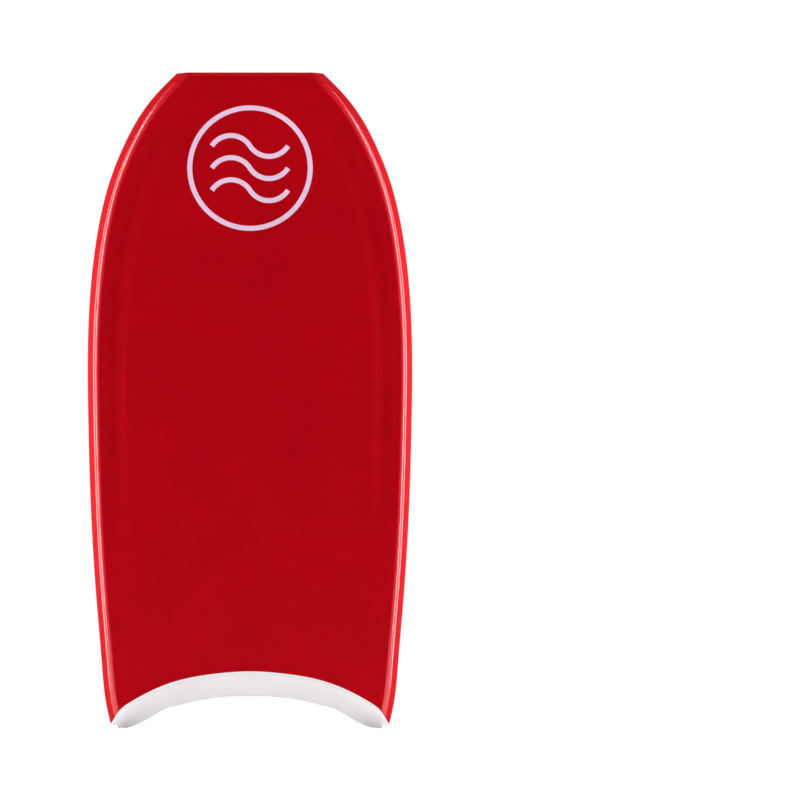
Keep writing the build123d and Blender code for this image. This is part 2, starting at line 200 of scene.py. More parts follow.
def rolled_drop(share):
    """Depth under the deck in the rollover, from the chine (0) to the flat deck (1)."""
    pull = (ROLL_END - CHINE_RUN) * ROLL_SLOPE
    curve = CHINE_DROP * (2 * share**3 - 3 * share**2 + 1)
    return curve - pull * (share**3 - 2 * share**2 + share)


def softened(share, full):
    """Run from 0 to full whose start is rounded, so the widest line isn't a knife edge."""
    raw = np.sqrt((share * full)**2 + APEX_ROUND**2) - APEX_ROUND
    return raw * full / (np.sqrt(full**2 + APEX_ROUND**2) - APEX_ROUND)


def chine_point(share, z):
    """Inset and depth under the deck, from the widest line (0) to the flat deck (1)."""
    apex_drop = (1 - APEX_SHARE) * thickness(z)
    low, high = stretch(share, 0, STRAIGHT_CHINE), stretch(share, STRAIGHT_CHINE, 1)
    curved = share > STRAIGHT_CHINE
    inset = np.where(curved, between(CHINE_RUN, ROLL_END, high), softened(low, CHINE_RUN))
    drop = np.where(curved, rolled_drop(high), between(apex_drop, CHINE_DROP, low))
    return inset * reach(z), drop


def rail_point(share, z):
    """Inset and height over the slick, from the widest line (0) to the slick edge (1)."""
    rise = APEX_SHARE * thickness(z)
    foot = slick_inset(z) - BEAD
    low, high = stretch(share, 0, STRAIGHT_RAIL), stretch(share, STRAIGHT_RAIL, 1)
    inset = softened(low, foot) + BEAD * high
    height = between(rise, BEAD_DROP, low) - BEAD_DROP * high**1.6
    return inset, height


print("widest line to chine top:", [round(float(v) / MM, 1) for v in chine_point(STRAIGHT_CHINE, 0.5)])

# %% [markdown]
# ## Tail and nose ends
#
# The tail is a crescent with a raked face: it starts low on the slick side and runs up to
# the deck side. The crescent is one curve on the slick face and another on the deck face,
# and the height of the cut is a straight blend of the two. The nose is a nearly level cut
# whose deck edge is rolled off.

# %% End cuts
tail_steps = [0, 0.058, 0.106, 0.135, 0.156, 0.180, 0.199, 0.210, 0.219, 0.227, 0.262]
tail_on_slick = [0.0525, 0.0495, 0.040, 0.0305, 0.021, 0.008, 0.0011, 0.0004, 0.0005,
                 0.0005, 0.0005]
tail_on_deck = [0.086, 0.082, 0.074, 0.0655, 0.057, 0.0455, 0.035, 0.027, 0.0165, 0.005,
                -0.0475]
tail_skins = [0.0055] * 5 + [0.005, 0.0045, 0.004, 0.0035, 0.003, 0.003]


def both_sides(values):
    """Smooth line over the whole width from values given for one half."""
    knots = [-x for x in tail_steps[:0:-1]] + tail_steps
    return smooth_line(knots, values[:0:-1] + values)


low_crescent, high_crescent = both_sides(tail_on_slick), both_sides(tail_on_deck)
tail_cap = both_sides(tail_skins)
NOSE_RAKE, NOSE_CAP = 0.006, 0.005
ROLL_LENGTH, ROLL_DROP, ROLL_BLEND = 0.006, 0.0035, 0.0006


def tail_z(x, y):
    """Height of the raked tail face."""
    share = (SLICK_FLAT - y) / THICK_TAIL
    return between(low_crescent(x), high_crescent(x), share)


def nose_z(y):
    """Height of the nose face."""
    share = (slick_y(LENGTH) - y) / THICK_NOSE
    return LENGTH - NOSE_RAKE * (1 - share)


def nose_rolled(y, z):
    """Depth of a point once the deck edge of the nose is rolled off."""
    start = deck_y(LENGTH - ROLL_LENGTH)
    slope = (deck_y(LENGTH) + ROLL_DROP - start) / ROLL_LENGTH
    wedge = start + slope * (z - (LENGTH - ROLL_LENGTH))
    apart = y - wedge
    return (y + wedge + np.sqrt(apart**2 + ROLL_BLEND**2)) / 2


# %% [markdown]
# ## One helper builds every skin
#
# A skin is a curved box: so many points across, a few through its thickness, and many
# along the board. Given a numpy grid of those points, the helper keeps the outer faces,
# welds them into one closed mesh and turns all faces outward. Points that fall together,
# as at a feather edge, are merged.


# %% Skin helper
finished = {}
WELD, SKIN_SHARP, FILM_SHARP = 0.00002, 35, 40


def into_scene(name, data):
    """New object in the scene that holds a mesh, a lamp or a camera."""
    made = bpy.data.objects.new(name, data)
    bpy.context.scene.collection.objects.link(made)
    return made


def link(name, mesh):
    """Put a mesh in the scene as the finished piece that stands for a piece of the model."""
    piece = into_scene("finished_" + name, mesh)
    finished[name] = piece
    print(f"{name}: {len(mesh.polygons)} faces")
    return piece


def turned_out(mesh, sharp, weld=None):
    """Turn the faces of a mesh outward and shade it smooth, apart from its sharp edges."""
    work = bmesh.new()
    work.from_mesh(mesh)
    if weld:
        bmesh.ops.remove_doubles(work, verts=work.verts, dist=weld)
        bmesh.ops.dissolve_degenerate(work, edges=work.edges, dist=weld / 4)
    bmesh.ops.recalc_face_normals(work, faces=work.faces)
    work.to_mesh(mesh)
    work.free()
    mesh.shade_smooth()
    mesh.set_sharp_from_angle(angle=math.radians(sharp))


def skin(name, grid):
    """Closed mesh from the outer faces of a grid of points, shaped (across, deep, along, 3)."""
    shell = np.zeros(grid.shape[:3], bool)
    shell[[0, -1]] = shell[:, [0, -1]] = shell[:, :, [0, -1]] = True
    index = np.full(grid.shape[:3], -1)
    index[shell] = np.arange(shell.sum())
    faces = []
    for axis in range(3):
        for end in (0, -1):
            sheet = np.take(index, end, axis=axis)
            quads = np.stack([sheet[:-1, :-1], sheet[1:, :-1], sheet[1:, 1:], sheet[:-1, 1:]], -1)
            faces.append(quads.reshape(-1, 4))
    mesh = bpy.data.meshes.new(name)
    mesh.from_pydata(grid[shell].tolist(), [], np.concatenate(faces).tolist())
    turned_out(mesh, SKIN_SHARP, WELD)
    return link(name, mesh)


def stretched(place, start_of, end_of, rows, shape):
    """Grid whose rows run from one end cut to the other, wherever each column lies."""
    v = np.asarray(rows)[None, None, :]
    z = np.broadcast_to(v * LENGTH, shape + (len(rows),)).copy()
    for _ in range(7):
        x, y = place(z)
        low, high = start_of(x, y, z), end_of(x, y, z)
        z = between(low, high, v)
    x, y = place(z)
    return np.stack([x, y, z], -1)


def spaced(count, fine_ends=0.012, extra=6):
    """Rows along the board from 0 to 1, closer together at both ends."""
    near = np.linspace(0, fine_ends, extra, endpoint=False)
    middle = np.linspace(fine_ends, 1 - fine_ends, count, endpoint=False)
    far = np.linspace(1 - fine_ends, 1, extra * 2)
    return np.concatenate([near, middle, far])


# %% [markdown]
# ## Deck skin
#
# The deck is a 6 mm sheet of soft foam, wrapped over the core and rolled down at its
# edges. Its columns are close together near the edge, where the rollover and the groove
# are, and wide apart in the flat middle. The groove isn't in this mesh yet: each point
# only remembers how far in from the outline it lies, for the next step.

# %% Deck skin
edge_insets = np.concatenate([np.linspace(SEAM, ROLL_END, 6), np.arange(0.023, 0.0735, 0.0025)])
middle_share = np.linspace(-1, 1, 34)[1:-1]
own_width = np.concatenate([-np.ones(len(edge_insets)), middle_share, np.ones(len(edge_insets))])
own_inset = np.concatenate([-edge_insets, middle_share * edge_insets[-1], edge_insets[::-1]])
layer = np.array([0.0, 1.0])[None, :, None]


def deck_place(z):
    """Across and depth of every column of the deck skin."""
    w, r = half_width(z), reach(z)
    x = own_width[:, None, None] * w - own_inset[:, None, None] * r
    inset = np.clip((w - np.abs(x)) / r, CHINE_RUN, ROLL_END)
    y = deck_y(z) + rolled_drop((inset - CHINE_RUN) / (ROLL_END - CHINE_RUN))
    under = (w - SEAM_UNDER * r) / (w - SEAM * r)
    return x * between(1, under, layer), nose_rolled(y, z) + layer * DECK_SKIN


def above_tail_skin(x, y, z):
    return tail_z(x, y) + tail_cap(x)


def to_nose(x, y, z):
    return nose_z(y)


deck_grid = stretched(deck_place, above_tail_skin, to_nose, spaced(190), (len(own_width), 2))
deck_skin = skin("deck_skin", deck_grid)

# %% Where the groove runs
groove_press = smooth_line([0, 0.270, 0.330, 0.420, 0.560, 0.900, 0.960, 1.000, 1.067],
                           [0, 0, 0.30, 0.80, 1.0, 1.0, 0.82, 0.0, 0])


def mark(piece, label, values):
    """Store one number on each point of a piece."""
    attribute = piece.data.attributes.new(label, "FLOAT", "POINT")
    attribute.data.foreach_set("value", values.astype(np.float32))


spots = np.empty(len(deck_skin.data.vertices) * 3)
deck_skin.data.vertices.foreach_get("co", spots)
spots = spots.reshape(-1, 3)
mark(deck_skin, "from_edge", (half_width(spots[:, 2]) - np.abs(spots[:, 0])) / reach(spots[:, 2]))
on_top = spots[:, 1] < deck_y(spots[:, 2]) + DECK_SKIN * 0.75
press = np.clip(groove_press(spots[:, 2]), 0, 1) * on_top
mark(deck_skin, "press", press)
print("points the groove can press:", int((press > 0).sum()))

# %% [markdown]
# ## A press for the groove
#
# Two shallow grooves follow the outline of the deck, to give the elbows and the hands a
# hold. On the real board a hot tool presses them after the skin is on. Geometry Nodes do
# the same here: a small tree pushes every point in by an amount that depends only on its
# distance from the outline. Its named inputs are the outer edge, the valley, the inner
# edge and the depth, so the groove can be changed without touching the mesh.


# %% Node tree helpers
def new_tree(name, inputs):
    """Empty Geometry Nodes tree with the given named inputs; returns tree, start and end."""
    tree = bpy.data.node_groups.new(name, "GeometryNodeTree")
    tree.interface.new_socket("Geometry", in_out="INPUT", socket_type="NodeSocketGeometry")
    for label, kind, value in inputs:
        socket = tree.interface.new_socket(label, in_out="INPUT", socket_type="NodeSocket" + kind)
        if value is not None:
            socket.default_value = value
    tree.interface.new_socket("Geometry", in_out="OUTPUT", socket_type="NodeSocketGeometry")
    return tree, tree.nodes.new("NodeGroupInput"), tree.nodes.new("NodeGroupOutput")


def node(tree, kind, settings=None, **wired):
    """Add a node; a value is set on the named or numbered input, a socket is linked to it."""
    made = tree.nodes.new(kind)
    for key, value in (settings or {}).items():
        setattr(made, key, value)
    for key, value in wired.items():
        name = key.replace("_", " ")
        socket = made.inputs[int(key[2:])] if key.startswith("in") and key[2:].isdigit() \
            else made.inputs[name]
        if isinstance(value, bpy.types.NodeSocket):
            tree.links.new(value, socket)
        else:
            socket.default_value = value
    return made


def maths(tree, operation, first, second=0.0):
    return node(tree, "ShaderNodeMath", {"operation": operation}, in0=first, in1=second).outputs[0]


def vectors(tree, operation, first, **wired):
    return node(tree, "ShaderNodeVectorMath", {"operation": operation}, in0=first,
                **wired).outputs[0]


def coated(tree, geometry, material):
    """Make instances real and give every face one material."""
    real = node(tree, "GeometryNodeRealizeInstances", Geometry=geometry)
    return node(tree, "GeometryNodeSetMaterial", Geometry=real.outputs[0],
                Material=material).outputs[0]


def stored(tree, label, kind="FLOAT"):
    """Numbers that a mesh carries under a name."""
    return node(tree, "GeometryNodeInputNamedAttribute", {"data_type": kind}, Name=label).outputs[0]


def bake_nodes(piece, tree, values):
    """Run a tree on a piece with its inputs set, and keep the result as a plain mesh."""
    modifier = piece.modifiers.new(tree.name, "NODES")
    modifier.node_group = tree
    for item in tree.interface.items_tree:
        if item.in_out == "INPUT" and item.name in values:
            modifier[item.identifier] = values[item.name]
    graph = bpy.context.evaluated_depsgraph_get()
    graph.update()
    made = bpy.data.meshes.new_from_object(piece.evaluated_get(graph))
    piece.modifiers.clear()
    old = piece.data
    piece.data = made
    made.name = piece.name
    bpy.data.meshes.remove(old)
    print(f"{piece.name}: {len(made.polygons)} faces after '{tree.name}'")


# %% The groove press
press_tree, ins, out = new_tree("press groove", [
    ("Outer", "Float", 0.020), ("Valley", "Float", 0.042), ("Inner", "Float", 0.068),
    ("Depth", "Float", 0.0046), ("Skin", "Material", None)])
inset_is, press_is = stored(press_tree, "from_edge"), stored(press_tree, "press")
walls = []
for far in ("Outer", "Inner"):
    wall = node(press_tree, "ShaderNodeMapRange", {"interpolation_type": "SMOOTHSTEP"},
                Value=inset_is, From_Min=ins.outputs[far], From_Max=ins.outputs["Valley"])
    walls.append(wall.outputs[0])
partly = maths(press_tree, "MULTIPLY", maths(press_tree, "MINIMUM", *walls), press_is)
push = maths(press_tree, "MULTIPLY", partly, ins.outputs["Depth"])
offset = node(press_tree, "ShaderNodeCombineXYZ", Y=push)
pressed = node(press_tree, "GeometryNodeSetPosition", Geometry=ins.outputs["Geometry"],
               Offset=offset.outputs[0])
press_tree.links.new(coated(press_tree, pressed.outputs[0], ins.outputs["Skin"]), out.inputs[0])

# %% [markdown]
# ## Foam strips round the edge
#
# Each side has two strips. The chine strip covers the steep slope under the deck's edge,
# up to the seam with the deck skin. The rail strip covers the slope down to the slick and
# ends in a narrow bead beside the hard sheet. Both are ribbons about 5 mm thick whose
# inner face is a straighter copy of the outer one.

# %% Chine strips
chine_shares = np.concatenate([np.linspace(0, 0.10, 7), np.linspace(0.14, 0.50, 7),
                               np.linspace(STRAIGHT_CHINE, SEAM_SHARE, 15)])[:, None, None]


def chine_place(side, z):
    inset, drop = chine_point(chine_shares, z)
    low = stretch(chine_shares, 0, STRAIGHT_CHINE)
    high = stretch(chine_shares, STRAIGHT_CHINE, SEAM_SHARE)
    seam_inset, seam_drop = chine_point(np.array(SEAM_SHARE), z)
    inner = between(between(WALL, SEAM_UNDER * reach(z), low), seam_inset, high)
    inner_drop = between(between((1 - APEX_SHARE) * thickness(z), DECK_SKIN, low), seam_drop, high)
    x = side * (half_width(z) - between(inset, inner, layer))
    return x, nose_rolled(deck_y(z) + between(drop, inner_drop, layer), z)


def strips(name, place, foot, columns):
    """The same strip on the left and on the right."""
    for side, hand in ((-1, "left"), (1, "right")):
        grid = stretched(lambda z: place(side, z), foot, to_nose, spaced(170), (columns, 2))
        skin(f"{name}_{hand}", grid)


strips("chine_strip", chine_place, above_tail_skin, len(chine_shares))

# %% Rail strips
rail_shares = np.concatenate([np.linspace(0, 0.10, 7), np.linspace(0.16, 0.80, 9),
                              [0.84], np.linspace(STRAIGHT_RAIL, 1, 7)])[:, None, None]


def rail_place(side, z):
    inset, height = rail_point(rail_shares, z)
    inner = between(WALL, slick_inset(z), rail_shares)
    inner_height = between(APEX_SHARE * thickness(z), BEAD_DROP, rail_shares)
    x = side * (half_width(z) - between(inset, inner, layer))
    return x, slick_y(z) - between(height, inner_height, layer)


def above_tail_end(x, y, z):
    """The bead runs right to the tail, beside the hard sheet."""
    return tail_z(x, y) + tail_cap(x) * (rail_shares < BEAD_START)


strips("rail_strip", rail_place, above_tail_end, len(rail_shares))

# %% [markdown]
# ## The slick
#
# The bottom is a 2 mm sheet of hard, slippery plastic. It is flat across, except for two
# shallow channels near the tail that help the board to hold a line. Each channel is a
# long round hollow that runs out toward the middle.

# %% Slick sheet
SHEET, NOSE_CORNER = 0.002, 0.005
CHANNEL_X, CHANNEL_RADIUS, CHANNEL_DEPTH, CHANNEL_LENGTH = 0.134, 0.062, 0.0042, 0.150
CHANNEL_BLEND, CHANNEL_CLEAR = 0.0003, 0.22
across_slick = np.linspace(-1, 1, 133)[:, None, None]


def channel(x, z):
    """Depth of the tail channels."""
    side_step = np.abs(x) - CHANNEL_X
    depth = CHANNEL_DEPTH * (1 - z / CHANNEL_LENGTH) - side_step**2 / (2 * CHANNEL_RADIUS)
    return (depth + np.sqrt(depth**2 + CHANNEL_BLEND**2)) / 2 * (z < CHANNEL_CLEAR)


def slick_place(z):
    x = across_slick * (half_width(z) - slick_inset(z))
    x, _ = np.broadcast_arrays(x, z)
    return x * np.ones_like(layer), slick_y(z) - channel(x, z) - layer * SHEET


def from_tail(x, y, z):
    return tail_z(x, y)


def round_bumper(x, y, z):
    """The sheet stops at the nose strip, and runs on to the nose beside its ends."""
    return nose_z(y) - NOSE_CAP * (np.abs(across_slick) < 1 - NOSE_CORNER / half_width(LENGTH))


slick_skin = skin("slick_skin", stretched(slick_place, from_tail, round_bumper, spaced(240),
                                          (len(across_slick), 2)))

# %% [markdown]
# ## Nose strip and tail skin
#
# The nose is closed by a hard-wearing strip of black foam, let in between the edge
# strips, and the tail by a white foam skin over the whole end. Both follow the section of
# the board, so their grids go level by level from the deck to the slick, and each level
# is as wide as the section is there.


# %% Nose strip
across_nose = np.linspace(-1, 1, 61)[:, None, None]
nose_shares = np.linspace(0, 1, 7)


def nose_levels(z):
    """Inset and depth of the nose strip's section, which lies inside the edge strips."""
    drop = (1 - APEX_SHARE) * thickness(z)
    rise = APEX_SHARE * thickness(z)
    chine = [(between(SEAM_UNDER * reach(z), WALL, s), deck_y(z) + between(DECK_SKIN, drop, s))
             for s in nose_shares]
    rail = [(between(WALL, slick_inset(z) + NOSE_CORNER, s), slick_y(z) - between(rise, 0, s))
            for s in nose_shares[1:]]
    insets, depths = zip(*chine, *rail)
    return np.stack(insets, 1), np.stack(depths, 1)


def bumper_grid():
    """Nose strip from its glued face to the nose face."""
    back = NOSE_CAP * (1 - np.array([0.0, 0.5, 1.0]))[None, None, :]
    z = LENGTH - back
    for _ in range(5):
        inset, y = nose_levels(z[:1, 0])
        x = across_nose * (half_width(z[:1]) - inset)
        z = nose_z(y) - back
    return np.stack(np.broadcast_arrays(x, y, z), -1)


skin("nose_bumper", bumper_grid())

# %% Tail skin
EDGE_ROUND = 0.0022
TAIL_COLUMNS, TAIL_BUNCHED = 121, 0.35
even = np.linspace(-1, 1, TAIL_COLUMNS)[:, None, None]
across_tail = np.sin(even * math.pi / 2) * TAIL_BUNCHED + even * (1 - TAIL_BUNCHED)
tail_chine = [1.0, 0.985, 0.965, 0.94, 0.91, 0.88, 0.84, 0.78, 0.70, 0.62, 0.55, 0.42, 0.28, 0.14,
              0.06]
tail_rail = [0.0, 0.06, 0.14, 0.28, 0.42, 0.56, 0.68, 0.76, 0.81, 0.84, STRAIGHT_RAIL]


def rounded(distance, radius):
    """How far a face falls back within a radius of its edge."""
    near = np.clip(1 - distance / radius, 0, 1)
    return radius * (1 - np.sqrt(1 - near**2))


def tail_grid():
    """Tail skin from the raked face up to where it is glued to the core."""
    z = np.full((TAIL_COLUMNS, len(tail_chine) + len(tail_rail), 3), 0.04)
    part = np.array([0.0, 0.5, 1.0])[None, None, :]
    for _ in range(9):
        insets, depths = [], []
        for shares, point, face, way in ((tail_chine, chine_point, deck_y, 1),
                                         (tail_rail, rail_point, slick_y, -1)):
            for share in shares:
                inset, step = point(np.array(share), z)
                insets.append(inset)
                depths.append(face(z) + way * step)
        pick = np.arange(z.shape[1])
        inset = np.stack(insets)[pick, :, pick].transpose(1, 0, 2)
        y = np.stack(depths)[pick, :, pick].transpose(1, 0, 2)
        side = half_width(z) - inset
        x = across_tail * side
        y = np.minimum(y, y[:, -1:] - channel(x, z))  # the foot follows the channels
        back = rounded(y - deck_y(z), EDGE_ROUND) + rounded(side - np.abs(x), EDGE_ROUND)
        z = tail_z(x, y) + tail_cap(x) * part + np.minimum(back, EDGE_ROUND) * (1 - part)
    return np.stack([x, y, z], -1)


skin("tail_skin", tail_grid())

# %% [markdown]
# ## Printed marks are films laid on a skin
#
# A print on a bodyboard is a very thin film of ink. Each one is first drawn flat, as a
# closed slab whose points know whether they are on top. A second Geometry Nodes tree then
# lays it on its skin: every point shoots a ray at the skin, lands on it, and the top
# points stay a film's thickness above. The tree's inputs are the skin, the direction of
# the rays, the film's thickness and its inks, and it serves every print.


# %% Flat slabs
def flat_slab(name, corners, faces, inks=None, axes=(0, 2)):
    """Closed slab from flat polygons; the third axis is left at zero until it is laid."""
    corners = np.asarray(corners, float)
    total = len(corners)
    spots = np.zeros((total * 2, 3))
    spots[:total, axes[0]], spots[:total, axes[1]] = corners[:, 0], corners[:, 1]
    spots[total:] = spots[:total]
    faces = [list(map(int, face)) for face in faces]
    inks = [0] * len(faces) if inks is None else list(map(int, inks))
    edge_ink = {}
    for face, ink in zip(faces, inks):
        for a, b in zip(face, face[1:] + face[:1]):
            if (b, a) in edge_ink:
                del edge_ink[(b, a)]
            else:
                edge_ink[(a, b)] = ink
    walls = [[b, a, a + total, b + total] for a, b in edge_ink]
    under = [[corner + total for corner in reversed(face)] for face in faces]
    mesh = bpy.data.meshes.new(name)
    mesh.from_pydata(spots.tolist(), [], faces + under + walls)
    top = mesh.attributes.new("top", "FLOAT", "POINT")
    top.data.foreach_set("value", np.repeat([1.0, 0.0], total).astype(np.float32))
    ink = mesh.attributes.new("ink", "INT", "FACE")
    ink.data.foreach_set("value", np.array(inks + inks + list(edge_ink.values()), np.int32))
    return link(name, mesh)


# %% Tree that lays a film
def lay_tree(ink_count):
    """Geometry Nodes tree that lays a flat slab on a skin, with one material per ink."""
    inputs = [("Board skin", "Object", None), ("Direction", "Vector", (0, 1, 0)),
              ("Film", "Float", 0.00015), ("Sink", "Float", 0.0001)]
    inputs += [(f"Ink {i}", "Material", None) for i in range(ink_count)]
    tree, start, end = new_tree(f"lay film {ink_count}", inputs)
    target = node(tree, "GeometryNodeObjectInfo", {"transform_space": "RELATIVE"},
                  Object=start.outputs["Board skin"])
    place = node(tree, "GeometryNodeInputPosition").outputs[0]
    far = vectors(tree, "SCALE", start.outputs["Direction"], Scale=-1.0)
    ray = node(tree, "GeometryNodeRaycast", Target_Geometry=target.outputs["Geometry"],
               Source_Position=vectors(tree, "ADD", place, in1=far),
               Ray_Direction=start.outputs["Direction"], Ray_Length=3.0)
    hit = next(s for s in ray.outputs if s.name == "Hit Position")
    whole = maths(tree, "ADD", start.outputs["Film"], start.outputs["Sink"])
    sunk = maths(tree, "MULTIPLY", start.outputs["Sink"], -1.0)
    lift = node(tree, "ShaderNodeMath", {"operation": "MULTIPLY_ADD"}, in0=stored(tree, "top"),
                in1=whole, in2=sunk)
    raised = vectors(tree, "SCALE", far, Scale=lift.outputs[0])
    laid = node(tree, "GeometryNodeSetPosition", Geometry=start.outputs["Geometry"],
                Position=vectors(tree, "ADD", hit, in1=raised))
    flow = node(tree, "GeometryNodeRealizeInstances", Geometry=laid.outputs[0]).outputs[0]
    ink = stored(tree, "ink", "INT")
    for i in range(ink_count):
        same = node(tree, "FunctionNodeCompare", {"data_type": "INT", "operation": "EQUAL"})
        whole_numbers = [s for s in same.inputs if s.type == "INT"]
        tree.links.new(ink, whole_numbers[0])
        whole_numbers[1].default_value = i
        coat = node(tree, "GeometryNodeSetMaterial", Geometry=flow, Selection=same.outputs[0],
                    Material=start.outputs[f"Ink {i}"])
        flow = coat.outputs[0]
    tree.links.new(flow, end.inputs[0])
    return tree


lay_one, lay_five = lay_tree(1), lay_tree(5)
TOWARD_SLICK, TOWARD_DECK = (0.0, 1.0, 0.0), (0.0, -1.0, 0.0)


# %% Lay a print and finish its mesh
def lay(piece, tree, onto, direction, inks, film=0.00015):
    values = {"Board skin": onto, "Direction": direction, "Film": film}
    values.update({f"Ink {i}": ink for i, ink in enumerate(inks)})
    bake_nodes(piece, tree, values)
    turned_out(piece.data, FILM_SHARP)


# %% [markdown]
# ## Material helpers
#
# All skins here are plastics, so they share one recipe. A colour is varied a little by
# soft noise, as dye never takes quite evenly. A finer pattern feeds the roughness and the
# bump: pinhead cells for foam, a pressed diamond net for the hard slick. Patterns read
# Object coordinates, so they stay with the board wherever it goes.


# %% Colour and shader helpers
def from_screen(red, green, blue):
    """Linear colour from 0-255 screen values."""
    return tuple((v / 255 / 12.92) if v <= 10 else ((v / 255 + 0.055) / 1.055)**2.4
                 for v in (red, green, blue)) + (1.0,)


def new_material(name):
    material = bpy.data.materials.new(name)
    material.use_nodes = True
    tree = material.node_tree
    tree.nodes.clear()
    end = tree.nodes.new("ShaderNodeOutputMaterial")
    shader = tree.nodes.new("ShaderNodeBsdfPrincipled")
    tree.links.new(shader.outputs[0], end.inputs["Surface"])
    return material, tree, shader


def noise(tree, place, scale, detail=3.0, roughness=0.5):
    return node(tree, "ShaderNodeTexNoise", Vector=place, Scale=scale, Detail=detail,
                Roughness=roughness).outputs[0]


def ramp(tree, value, low, high, out_low=0.0, out_high=1.0):
    """Straight remap of a value, held at both ends."""
    return node(tree, "ShaderNodeMapRange", Value=value, From_Min=low, From_Max=high,
                To_Min=out_low, To_Max=out_high).outputs[0]


def mixed(tree, share, first, second):
    return node(tree, "ShaderNodeMix", {"data_type": "RGBA"}, in0=share, in6=first,
                in7=second).outputs[2]


def weighed(tree, *parts):
    """Sum of two patterns, each with its weight."""
    return maths(tree, "ADD", *[maths(tree, "MULTIPLY", value, weight) for value, weight in parts])


def surface(tree, shader, colour, gloss, height, strength, distance):
    """Wire colour, roughness and relief into the shader."""
    bump = node(tree, "ShaderNodeBump", Height=height, Strength=strength, Distance=distance)
    for socket, name in ((colour, "Base Color"), (gloss, "Roughness"), (bump.outputs[0], "Normal")):
        tree.links.new(socket, shader.inputs[name])


# %% Foam
FOAM_CLOUD, FOAM_GRAIN, FOAM_CELL, FOAM_SPECK, FOAM_RELIEF = 9.0, 700.0, 620.0, 520.0, 0.00012


def foam(name, light, dark, rough=0.5, grain=1.0, speck=None, shine=0.5):
    """Closed-cell foam skin: soft colour variation, pinhead cells and a satin surface."""
    material, tree, shader = new_material(name)
    place = node(tree, "ShaderNodeTexCoord").outputs["Object"]
    clouds = ramp(tree, noise(tree, place, FOAM_CLOUD), 0.35, 0.65)
    fine = noise(tree, place, FOAM_GRAIN, 2.0)
    cells = node(tree, "ShaderNodeTexVoronoi", Vector=place, Scale=FOAM_CELL)
    pores = ramp(tree, cells.outputs["Distance"], 0.0, 0.55)
    share = weighed(tree, (clouds, 0.35), (ramp(tree, fine, 0.3, 0.7), 0.65))
    colour = mixed(tree, share, from_screen(*dark), from_screen(*light))
    if speck:
        dots = ramp(tree, noise(tree, place, FOAM_SPECK, 0.0), 0.72, 0.82)
        colour = mixed(tree, dots, colour, from_screen(*speck))
    gloss = ramp(tree, fine, 0.25, 0.75, rough - 0.08, rough + 0.08)
    height = weighed(tree, (pores, 0.6), (fine, 0.8))
    surface(tree, shader, colour, gloss, height, 0.5 * grain, FOAM_RELIEF)
    shader.inputs["Specular IOR Level"].default_value = shine
    return material


# %% Slick plastic with a pressed net
NET, NET_SLOPE = 0.0080, 0.62
SLICK_CLOUD, SLICK_GRAIN, SLICK_RELIEF = 12.0, 900.0, 0.0003


def slick_plastic(name, light, dark, rough=0.30):
    """Hard glossy sheet or ink; the netting glued under it shows as a diamond relief."""
    material, tree, shader = new_material(name)
    place = node(tree, "ShaderNodeTexCoord").outputs["Object"]
    apart = node(tree, "ShaderNodeSeparateXYZ", Vector=place)
    up = maths(tree, "MULTIPLY", apart.outputs[2], NET_SLOPE)
    threads = []
    for operation in ("ADD", "SUBTRACT"):
        slope = maths(tree, operation, apart.outputs[0], up)
        threads.append(maths(tree, "COSINE", maths(tree, "MULTIPLY", slope, 2 * math.pi / NET)))
    ridges = ramp(tree, maths(tree, "MAXIMUM", *threads), 0.2, 1.0)
    clouds = ramp(tree, noise(tree, place, SLICK_CLOUD), 0.3, 0.7)
    fine = noise(tree, place, SLICK_GRAIN, 2.0)
    share = weighed(tree, (ridges, 0.45), (clouds, 0.55))
    colour = mixed(tree, share, from_screen(*dark), from_screen(*light))
    gloss = ramp(tree, fine, 0.3, 0.7, rough - 0.04, rough + 0.06)
    height = weighed(tree, (ridges, 1.0), (fine, 0.15))
    surface(tree, shader, colour, gloss, height, 0.25, SLICK_RELIEF)
    shader.inputs["Coat Weight"].default_value = 0.25
    shader.inputs["Coat Roughness"].default_value = 0.18
    return material


# %% The finishes of this board
deck_red = foam("deck foam red", (192, 0, 18), (168, 0, 12), rough=0.45,
                shine=0.06, grain=0.8, speck=(210, 6, 30))
rail_red = foam("rail foam red", (180, 0, 18), (170, 0, 14), rough=0.78,
                shine=0.10, grain=0.25)
# The same rail foam, glossier and painted lighter: its lighter red is a painted highlight on the
# rolled edge.
rolled_edge_highlight_red = foam("ironed foam red", (208, 0, 28), (196, 0, 22), rough=0.17,
                  shine=1.0, grain=0.1)
tail_white = foam("tail foam white", (248, 246, 247), (238, 236, 238),
                  rough=0.5, grain=0.6)
nose_black = foam("nose foam black", (30, 28, 32), (16, 15, 18), rough=0.45)
core_foam = foam("core foam", (226, 224, 214), (206, 204, 196), rough=0.7)
slick_white = slick_plastic("slick white", (232, 233, 240), (222, 223, 231))
ink_black = slick_plastic("ink black", (14, 14, 18), (8, 8, 11))
ink_red = slick_plastic("ink red", (184, 0, 26), (168, 0, 20))
ink_sky = slick_plastic("ink light blue", (0, 152, 222), (0, 142, 212))
ink_deep = slick_plastic("ink deep blue", (0, 76, 192), (0, 68, 178))
ink_pale = foam("ink pale", (250, 216, 244), (238, 204, 232), rough=0.42,
                grain=0.6)
ink_white = foam("ink white", (244, 242, 244), (232, 230, 234), rough=0.4,
                 grain=0.4)
print("materials made:", len(bpy.data.materials))

# %% [markdown]
# ## Press the groove and lay the badges
#
# The deck carries a badge of one ring and three wave lines in pale ink, and the slick a
# smaller black one inside a thin red ring. Their lines are ribbons of even width along a
# path, so each is drawn from its centre line.


# %% Press
bake_nodes(deck_skin, press_tree, {"Skin": deck_red})
deck_skin.data.shade_smooth()
deck_skin.data.set_sharp_from_angle(angle=math.radians(SKIN_SHARP))


